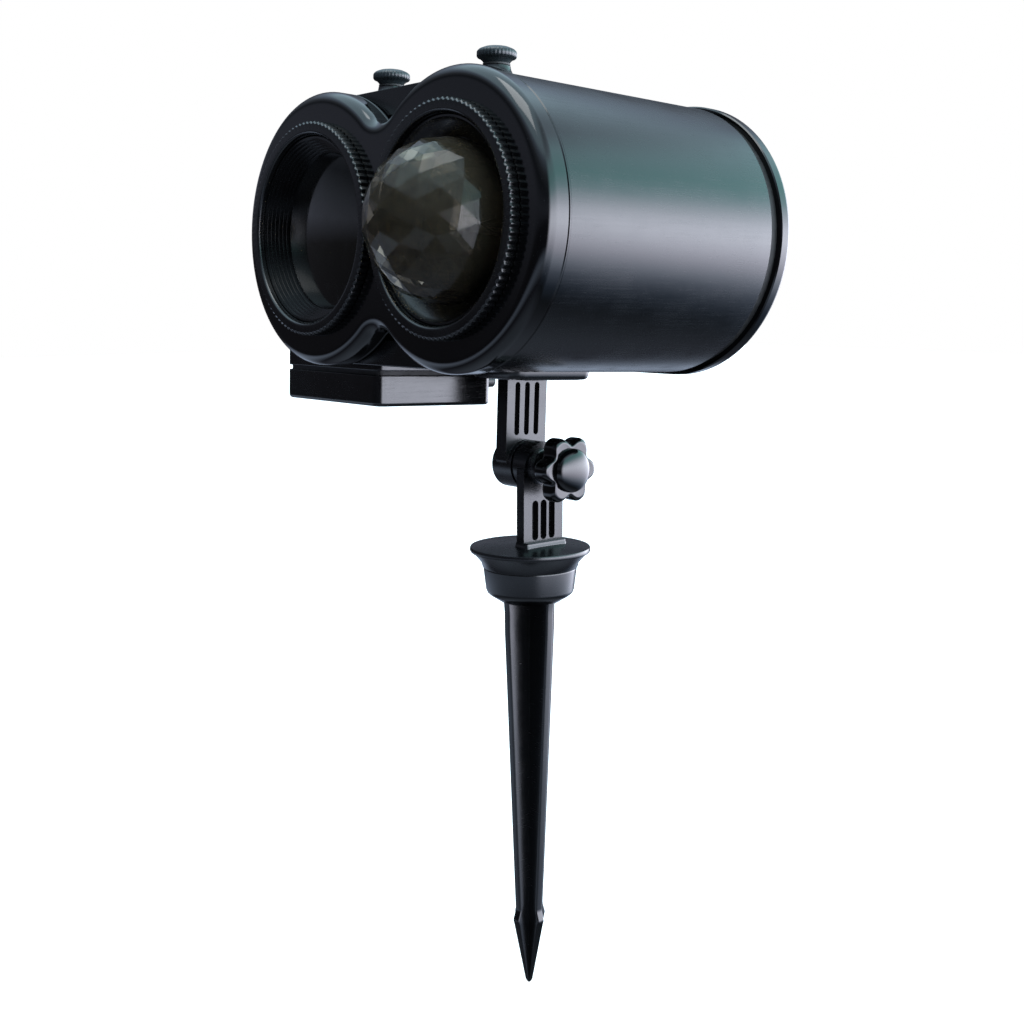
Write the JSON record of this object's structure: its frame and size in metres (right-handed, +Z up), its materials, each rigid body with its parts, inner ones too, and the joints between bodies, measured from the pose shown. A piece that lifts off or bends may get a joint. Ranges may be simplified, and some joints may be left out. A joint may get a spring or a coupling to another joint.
{
  "type": "light projector stake",
  "caption": "Twin-lens garden light projector head on a tilting bracket and ground spike, with a faceted dome lens, a recessed focus lens, knurled rings and a box under the housing.",
  "frame": {"origin": "on the axis of the ground spike, at the soil line under its cup", "axes": "+Z up along the spike, -Y the way the lenses look, +X the side of the dome lens"},
  "size_m": [0.186, 0.1513, 0.3819],
  "materials": {
    "gloss_black": "high gloss black moulded plastic",
    "housing_black": "satin black moulded plastic with fine drawn streaks",
    "ring_black": "satin black plastic, knurled",
    "arm_black": "semi gloss black glass-filled plastic",
    "spike_black": "matte black plastic",
    "cap_slate": "dark slate plastic",
    "dome_clear": "clear faceted plastic, smoky",
    "lens_glass": "coated lens, olive tint",
    "optic_clear": "clear optical plastic",
    "slide_glass": "tinted pattern slides",
    "rubber": "black rubber",
    "cable": "black cable jacket",
    "steel": "zinc plated steel",
    "motor_can": "plated motor can",
    "brass": "turned brass",
    "plug": "black overmoulded plug with a plated barrel",
    "aluminium": "extruded aluminium",
    "inner_black": "matte black plastic",
    "board_green": "green laminate",
    "component_dark": "dark epoxy parts",
    "led_white": "white LED board"
  },
  "bodies": {
    "stake": {"ground_spike": "spike_black", "lower_arm": "arm_black", "spike_screw": "steel"},
    "head": {"upper_arm": "arm_black", "saddle_screws": "steel", "tilt_bolt": "steel", "friction_washer": "rubber", "main_housing": "housing_black", "front_cover": "gloss_black", "front_gasket": "rubber", "rear_cover": "gloss_black", "rear_gasket": "rubber", "rear_cover_screws": "steel", "control_box": "housing_black", "box_gasket": "rubber", "box_screws": "steel", "driver_board": "board_green", "board_components": "component_dark", "cable_gland": "rubber", "power_cable": "cable", "power_plug": "plug", "dome_seat": "ring_black", "wave_dome": "dome_clear", "dome_retainer": "ring_black", "optics_chassis": "inner_black", "chassis_screws": "steel", "pattern_motor": "motor_can", "wave_motor": "motor_can", "motor_screws": "steel", "pattern_lens_holder": "inner_black", "wave_lens_holder": "inner_black", "pattern_condenser": "optic_clear", "wave_condenser": "optic_clear", "pattern_led_board": "led_white", "wave_led_board": "led_white", "pattern_heat_sink": "aluminium", "wave_heat_sink": "aluminium", "heat_sink_screws": "steel"},
    "knob_carriage": {"flat_washer": "steel"},
    "knob": {"star_knob": "gloss_black", "knob_insert": "brass"},
    "left_thumb_carriage": {"left_thumb_seal": "rubber"},
    "left_thumb_screw": {"left_thumb_cap": "cap_slate", "left_thumb_stud": "steel"},
    "right_thumb_carriage": {"right_thumb_seal": "rubber"},
    "right_thumb_screw": {"right_thumb_cap": "cap_slate", "right_thumb_stud": "steel"},
    "focus_ring": {"focus_ring": "ring_black"},
    "lens_carriage": {"lens_cell": "ring_black", "projection_lens": "lens_glass", "lens_retainer": "ring_black"},
    "dome_ring": {"dome_ring": "ring_black"},
    "pattern_wheel": {"pattern_shaft": "steel", "pattern_wheel": "inner_black", "pattern_slides": "slide_glass"},
    "wave_disc": {"wave_shaft": "steel", "wave_disc": "optic_clear"}
  },
  "joints": [
    {"name": "head_tilt", "type": "hinge", "parent": "stake", "child": "head", "pos_m": [0, 0, 0.0548], "axis": [1, 0, 0], "range_deg": [-85, 85]},
    {"name": "knob_travel", "type": "slide", "parent": "head", "child": "knob_carriage", "axis": [1, 0, 0], "range_m": [0, 0.0021]},
    {"name": "knob_turn", "type": "hinge", "parent": "knob_carriage", "child": "knob", "pos_m": [0.018, 0, 0.0548], "axis": [1, 0, 0], "range_deg": [0, 720]},
    {"name": "focus_turn", "type": "hinge", "parent": "head", "child": "focus_ring", "pos_m": [-0.041, -0.07169, 0.14804], "axis": [0, 0.9994, -0.0359], "range_deg": [-120, 120]},
    {"name": "lens_travel", "type": "slide", "parent": "head", "child": "lens_carriage", "axis": [0, 0.9994, -0.0359], "range_m": [-0.002, 0.002]},
    {"name": "dome_ring_turn", "type": "hinge", "parent": "head", "child": "dome_ring", "pos_m": [0.041, -0.07169, 0.14804], "axis": [0, 0.9994, -0.0359], "range_deg": [0, 30]},
    {"name": "pattern_spin", "type": "hinge", "parent": "head", "child": "pattern_wheel", "pos_m": [-0.019, -0.03472, 0.14671], "axis": [0, 0.9994, -0.0359], "continuous": true},
    {"name": "wave_spin", "type": "hinge", "parent": "head", "child": "wave_disc", "pos_m": [0.019, -0.05271, 0.14735], "axis": [0, 0.9994, -0.0359], "continuous": true},
    {"name": "left_thumb_travel", "type": "slide", "parent": "head", "child": "left_thumb_carriage", "axis": [0, 0.0359, 0.9994], "range_m": [0, 0.0014]},
    {"name": "left_thumb_turn", "type": "hinge", "parent": "left_thumb_carriage", "child": "left_thumb_screw", "pos_m": [-0.0214, -0.05166, 0.20435], "axis": [0, 0.0359, 0.9994], "range_deg": [0, 720]},
    {"name": "right_thumb_travel", "type": "slide", "parent": "head", "child": "right_thumb_carriage", "axis": [0, 0.0359, 0.9994], "range_m": [0, 0.0014]},
    {"name": "right_thumb_turn", "type": "hinge", "parent": "right_thumb_carriage", "child": "right_thumb_screw", "pos_m": [0.041, -0.05166, 0.20435], "axis": [0, 0.0359, 0.9994], "range_deg": [0, 720]}
  ],
  "couplings": [
    {"joint": "knob_travel", "follows": "knob_turn", "m_per_rad": 0.00015915},
    {"joint": "lens_travel", "follows": "focus_turn", "m_per_rad": 0.0009},
    {"joint": "left_thumb_turn", "follows": "left_thumb_travel", "rad_per_m": 8976},
    {"joint": "right_thumb_turn", "follows": "right_thumb_travel", "rad_per_m": 8976}
  ]
}
